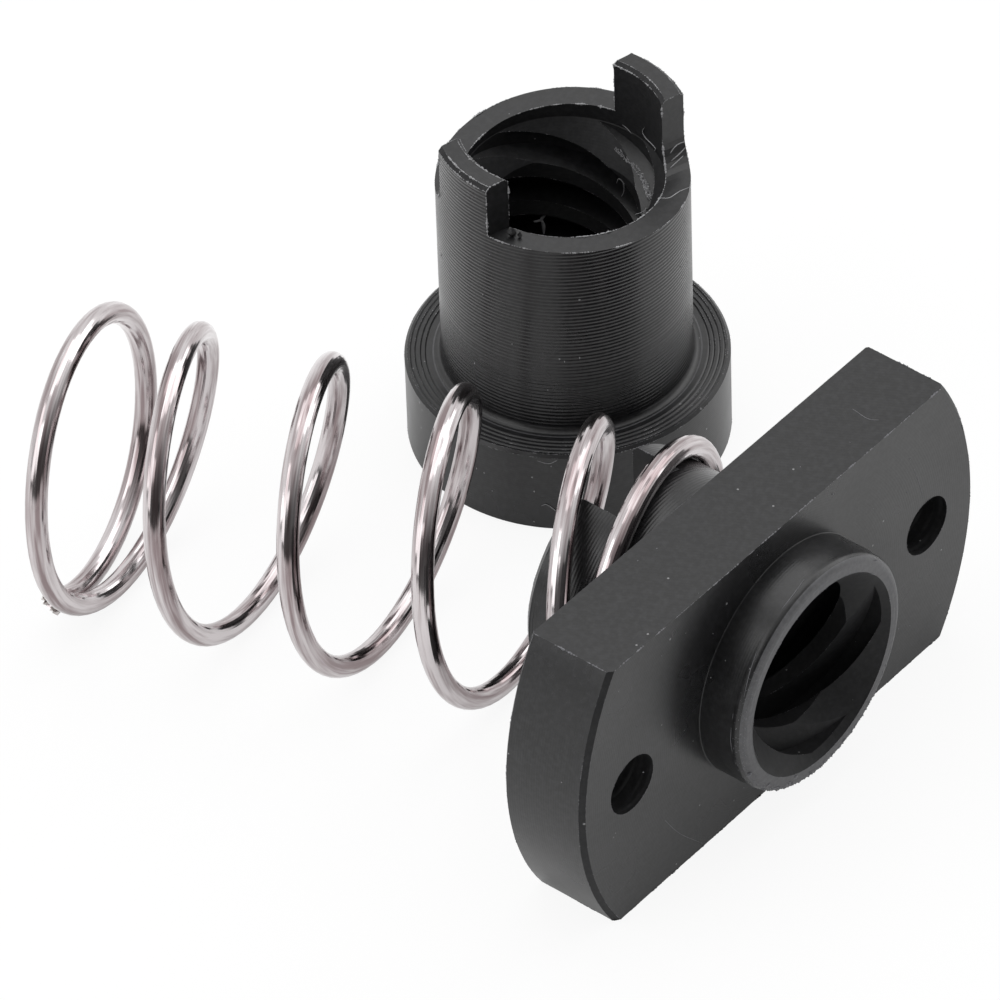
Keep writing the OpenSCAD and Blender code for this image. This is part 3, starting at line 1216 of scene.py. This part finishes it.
    def build(self, place: Matrix, finishes: Sequence[bpy.types.Material]) -> bpy.types.Object:
        """Makes the collar, with its prongs turned to where they point.

        Args:
            place: The collar's matrix, in metres.
            finishes: One material for each Surface, in order.

        Returns:
            The collar's object.
        """
        body = lathe(self.outline()).to_object("collar_turned", place)
        thread = SCREW_THREAD.cutter(-PAST, self.tip_h + PAST, self.thread_phase)
        mouth = mouth_cutter(self.mouth_r, 0.0, -3)
        carve(body, [thread, self.recess_cutter(), mouth, *self.gap_cutters()])
        for material in finishes:
            body.data.materials.append(material)
        finish_mesh(body, self.surface)
        torn = burrs(body, self.burr_size)
        for more in (self.swarf(), self.strip_of_painted_highlight(), self.stray_crumbs()):
            torn.add(more)
        stick(body, torn, Surface.TORN)
        stick(body, self.chunk(), Surface.FINE)
        body.data.transform(Matrix.Rotation(math.radians(self.yaw), 4, "Z"))
        return body


@dataclass
class Spring:
    """The spring: right-hand wire turns, closed at both ends, lying on its side.

    The wire runs from its far end, over the closed far turns, the open turns and the closed near
    turns, to the end at the nut. The closed turns are rings that lean against the coil's axis, so
    each stretch has a yaw of its own, in degrees from the nut's axis. Sizes are in millimetres.
    """

    wire_r: float = 0.45
    coil_r: float = 5.825
    length: float = 25.7
    open_turns: float = 4.07
    near_turns: float = 1.17
    far_turns: float = 0.97
    air: float = 0.03
    blend: float = 0.08
    lean: float = 0.67
    tip_angle: float = 140.6
    yaw: float = 18.5
    near_yaw: float = 11.97
    far_yaw: float = 17.6
    far_lean: float = 3.8
    near_end: tuple[float, float, float] = (0.18, 5.8, -0.215)
    far_z: float = -0.275
    sides: int = 28
    steps_per_turn: int = 64
    tip_crumbs: int = 34
    tip_spread: float = 0.36

    @staticmethod
    def smooth(x: float) -> float:
        """Eases from 0 to 1."""
        t = min(1.0, max(0.0, x))
        return t * t * (3 - 2 * t)

    def opened(self, u: float) -> float:
        """Counts the turns that have opened to the full pitch, easing in over the blend.

        Args:
            u: Turns since the coil began to open.

        Returns:
            The opened turns.
        """
        if abs(u) < self.blend:
            return (u + self.blend) ** 2 / (4 * self.blend)
        return max(0.0, u)

    def advance(self, u: float) -> float:
        """Finds how far the wire has gone along the coil's axis.

        Args:
            u: Turns along the wire from its far end.

        Returns:
            The way from the far end, in millimetres.
        """
        closed = 2 * self.wire_r + self.air
        ends = self.near_turns + self.far_turns
        pitch = (self.length - 2 * self.wire_r - closed * ends) / self.open_turns
        opening = self.opened(u - self.far_turns) - self.opened(u - self.far_turns - self.open_turns)
        return closed * u + (pitch - closed) * opening

    def ring_yaw(self, u: float) -> float:
        """Finds the yaw of the ring that the wire is on.

        Args:
            u: Turns along the wire from its far end.

        Returns:
            The angle between the nut's axis and the ring's, in degrees.
        """
        far = self.smooth((u - self.far_turns) / self.lean + 0.5)
        near = self.smooth((u - self.far_turns - self.open_turns) / self.lean + 0.5)
        return self.far_yaw + (self.yaw - self.far_yaw) * far + (self.near_yaw - self.yaw) * near

    def spoke(self, u: float) -> Vector:
        """Finds the way from the ring's centre to the wire.

        Args:
            u: Turns along the wire from its far end.

        Returns:
            The way, for a ring of radius 1.
        """
        a, turn = math.radians(self.tip_angle + 360 * u), math.radians(self.ring_yaw(u))
        opened = self.smooth((u - self.far_turns) / self.lean + 0.5)
        back = math.tan(math.radians(self.far_lean)) * (1 - opened)
        upright = Vector((-math.sin(turn) * back, math.cos(turn) * back, 1.0))
        return math.cos(a) * upright - math.sin(a) * Vector((math.cos(turn), math.sin(turn), 0.0))

    def centre(self, u: float) -> Vector:
        """Finds a point on the wire's middle line.

        Args:
            u: Turns along the wire from its far end.

        Returns:
            The point, in millimetres.
        """
        run, turn = self.length - 2 * self.wire_r, math.radians(self.yaw)
        left = run - self.advance(u)
        rise = (self.far_z - self.near_end[2]) * left / run
        axis = Vector(self.near_end) + Vector((-math.sin(turn) * left, math.cos(turn) * left, rise))
        return axis + self.coil_r * self.spoke(u)

    def section(self, u: float, radius: float) -> list[Vector]:
        """Draws a ring of points round the wire.

        Args:
            u: Turns along the wire from its far end.
            radius: The ring's radius, in millimetres.

        Returns:
            The ring's points.
        """
        along = (self.centre(u + 0.005) - self.centre(u - 0.005)).normalized()
        side = along.cross(self.spoke(u)).normalized()
        out = side.cross(along)
        turns = [2 * math.pi * k / self.sides for k in range(self.sides)]
        return [self.centre(u) + radius * (math.cos(a) * out + math.sin(a) * side) for a in turns]

    def build(self, finishes: Sequence[bpy.types.Material]) -> bpy.types.Object:
        """Makes the spring, with a map that runs along and round its wire.

        Args:
            finishes: One material for each WireSurface, in order.

        Returns:
            The spring's object.
        """
        total = self.far_turns + self.open_turns + self.near_turns
        steps = round(total * self.steps_per_turn)
        rings = [self.section(total * i / steps, self.wire_r) for i in range(steps + 1)]
        made = sweep(rings).to_object("spring_wire", Matrix.Identity(4))
        layer = made.data.uv_layers.new(name="along_wire")
        step_mm = 2 * math.pi * self.coil_r * total / steps
        for face in made.data.polygons:
            corners = [made.data.loops[i].vertex_index for i in face.loop_indices]
            at_seam = len(corners) == 4 and max(c % self.sides for c in corners) == self.sides - 1
            for i, corner in zip(face.loop_indices, corners):
                ring, k = divmod(corner, self.sides)
                if k == 0 and at_seam:
                    k = self.sides
                layer.data[i].uv = (ring * step_mm, k / self.sides)
        for material in finishes:
            made.data.materials.append(material)
        finish_mesh(made)
        stick(made, self.torn_tip(), WireSurface.CUT)
        return made

    def torn_tip(self) -> Draft:
        """Roughens the end that the shears left on the wire's far end.

        Returns:
            The crumbs of metal.
        """
        made, tip = Draft(), self.centre(0.0)
        along = (self.centre(0.01) - tip).normalized()
        for _ in range(self.tip_crumbs):
            off = Vector([random.uniform(-self.tip_spread, self.tip_spread) for _ in range(3)])
            spot = tip - 0.12 * along + off - 0.6 * off.dot(along) * along
            made.add(crumb(spot, along, random.uniform(0.07, 0.15)))
        return made


# Surroundings


@dataclass(frozen=True)
class Softbox:
    """A square soft lamp, which looks at the middle of the scene. Angles are in degrees."""

    name: str
    azimuth: float
    elevation: float
    size: float
    power: float


SOFTBOXES = (
    Softbox("top softbox", 130, 70, 0.5, 0.9),
    Softbox("right softbox", 75, 35, 0.4, 0.7),
    Softbox("left softbox", -110, 35, 0.5, 1.15),
)


@dataclass
class Studio:
    """The pale surface, the room, the lamps and the camera, in metres unless a name says otherwise."""

    floor_z: float
    aim_mm: tuple[float, float, float] = (5.70, 18.92, -6.55)
    azimuth: float = 49.42
    elevation: float = 42.11
    roll: float = -2.0
    distance: float = 0.4032
    lens_mm: float = 360.0
    sensor_mm: float = 36.0
    floor_size: float = 6.0
    floor_glow: float = 0.9
    floor_glow_in_gloss: float = 0.35
    lamp_distance: float = 0.6
    bright_side: tuple[float, float, float] = (0.52, 0.60, 0.61)
    dim: float = 0.12

    def camera(self) -> None:
        """Makes the camera and points it at the middle of the scene."""
        a, e, r = math.radians(self.azimuth), math.radians(self.elevation), math.radians(self.roll)
        ahead = Vector((math.sin(a) * math.cos(e), math.cos(a) * math.cos(e), -math.sin(e)))
        level = Vector((math.cos(a), -math.sin(a), 0.0))
        above = level.cross(ahead)
        right = math.cos(r) * level + math.sin(r) * above
        up = -math.sin(r) * level + math.cos(r) * above
        data = bpy.data.cameras.new("camera")
        data.lens = self.lens_mm
        data.sensor_width = self.sensor_mm
        data.clip_start = 0.01
        data.clip_end = 20.0
        made = bpy.data.objects.new("camera", data)
        bpy.context.scene.collection.objects.link(made)
        turn = Matrix((right, up, -ahead)).transposed().to_4x4()
        made.matrix_world = Matrix.Translation(Vector(self.aim_mm) * MM - ahead * self.distance) @ turn
        bpy.context.scene.camera = made

    def floor(self) -> None:
        """Makes the surface that the pieces lie on, which looks white and still takes a shadow."""
        half = self.floor_size / 2 / MM
        made = Draft([(x * half, y * half, 0.0) for x, y in ((-1, -1), (1, -1), (1, 1), (-1, 1))])
        made.faces = [(0, 1, 2, 3)]
        sheet = made.to_object("floor", Matrix.Translation((0, 0, self.floor_z)))
        material, tree, shader = new_material("Matt white board")
        shader.inputs["Base Color"].default_value = linear("#f2f2f2")
        shader.inputs["Roughness"].default_value = 0.9
        seen = add_node(tree, "LightPath").outputs
        straight, through, gloss = (
            seen[ray] for ray in ("Is Camera Ray", "Is Transmission Ray", "Is Glossy Ray")
        )
        clear = add_node(tree, "Math", {"operation": "MAXIMUM", 0: straight, 1: through}).outputs[0]
        plain = add_node(tree, "Math", {"operation": "MULTIPLY", 0: clear, 1: self.floor_glow}).outputs[0]
        shiny = add_node(tree, "Math", {"operation": "MULTIPLY", 0: gloss, 1: self.floor_glow_in_gloss})
        share = add_node(tree, "Math", {"operation": "MAXIMUM", 0: plain, 1: shiny.outputs[0]})
        white = add_node(tree, "Emission", {"Color": (1, 1, 1, 1), "Strength": 1.0})
        mix = add_node(tree, "MixShader", {0: share.outputs[0], 1: shader.outputs[0], 2: white.outputs[0]})
        tree.links.new(mix.outputs[0], tree.nodes["Material Output"].inputs["Surface"])
        sheet.data.materials.append(material)

    def world(self) -> None:
        """Makes the room: white walls up to the horizon, bright behind the pieces and dim in front."""
        world = bpy.data.worlds.new("studio room")
        bpy.context.scene.world = world
        world.use_nodes = True
        tree = world.node_tree
        way = add_node(tree, "TexCoord").outputs["Generated"]
        height = add_node(tree, "SeparateXYZ", {0: way}).outputs[2]
        back = add_node(tree, "VectorMath", {"operation": "DOT_PRODUCT", 0: way, 1: self.bright_side})
        soft = {"interpolation_type": "SMOOTHSTEP"}
        light = {"From Min": -0.35, "From Max": 0.55, "To Min": self.dim, "To Max": 1.0}
        wall = {"From Min": 0.05, "From Max": 0.2, "To Min": 1.0, "To Max": 0.0}
        light_level = add_node(tree, "MapRange", {**soft, **light, "Value": back.outputs["Value"]})
        wall_level = add_node(tree, "MapRange", {**soft, **wall, "Value": height})
        level = add_node(
            tree, "Math", {"operation": "MAXIMUM", 0: light_level.outputs[0], 1: wall_level.outputs[0]}
        )
        tree.links.new(level.outputs[0], tree.nodes["Background"].inputs["Strength"])
        tree.nodes["Background"].inputs["Color"].default_value = (1, 1, 1, 1)

    def lamp(self, box: Softbox) -> None:
        """Hangs one lamp and points it at the middle of the scene.

        Args:
            box: The lamp's name, angles, size and power.
        """
        data = bpy.data.lights.new(box.name, "AREA")
        data.size = box.size
        data.energy = box.power
        made = bpy.data.objects.new(box.name, data)
        bpy.context.scene.collection.objects.link(made)
        a, e = math.radians(box.azimuth), math.radians(box.elevation)
        out = Vector((math.sin(a) * math.cos(e), -math.cos(a) * math.cos(e), math.sin(e)))
        made.location = Vector(self.aim_mm) * MM + out * self.lamp_distance
        made.rotation_mode = "QUATERNION"
        made.rotation_quaternion = out.to_track_quat("Z", "Y")

    def build(self) -> None:
        """Makes everything round the object."""
        self.camera()
        self.floor()
        self.world()
        for box in SOFTBOXES:
            self.lamp(box)


def main() -> None:
    """Builds the pieces in order, dresses them and sets the scene."""
    logging.basicConfig(level=logging.INFO, format="%(message)s")
    random.seed(SEED)
    acetal = {finish: finish.build() for finish in dict.fromkeys(COLLAR_FINISHES + NUT_FINISHES)}
    nut_low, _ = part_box("flange_nut")
    collar_low, collar_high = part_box("collar")
    along_y = Matrix.Rotation(math.radians(-90), 4, "X")
    nut = FlangeNut().build(along_y, [acetal[finish] for finish in NUT_FINISHES])
    middle = (Vector(collar_low) + Vector(collar_high)) / 2
    stand = Matrix.Translation((middle.x, middle.y, collar_low[2]))
    ring = Collar().build(stand, [acetal[finish] for finish in COLLAR_FINISHES])
    coil = Spring().build([finish.build() for finish in WIRE_FINISHES])
    for piece, node, slot in (
        (nut, "flange_nut", "turned_acetal"),
        (ring, "collar", "turned_acetal"),
        (coil, "spring", "spring_wire"),
    ):
        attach(piece, "root")
        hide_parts(node)
        LOG.info("%s: %d faces", piece.name, len(piece.data.polygons))
    Studio(floor_z=nut_low[2]).build()
    bpy.context.scene.view_settings.view_transform = "Standard"


if __name__ == "__main__":
    main()
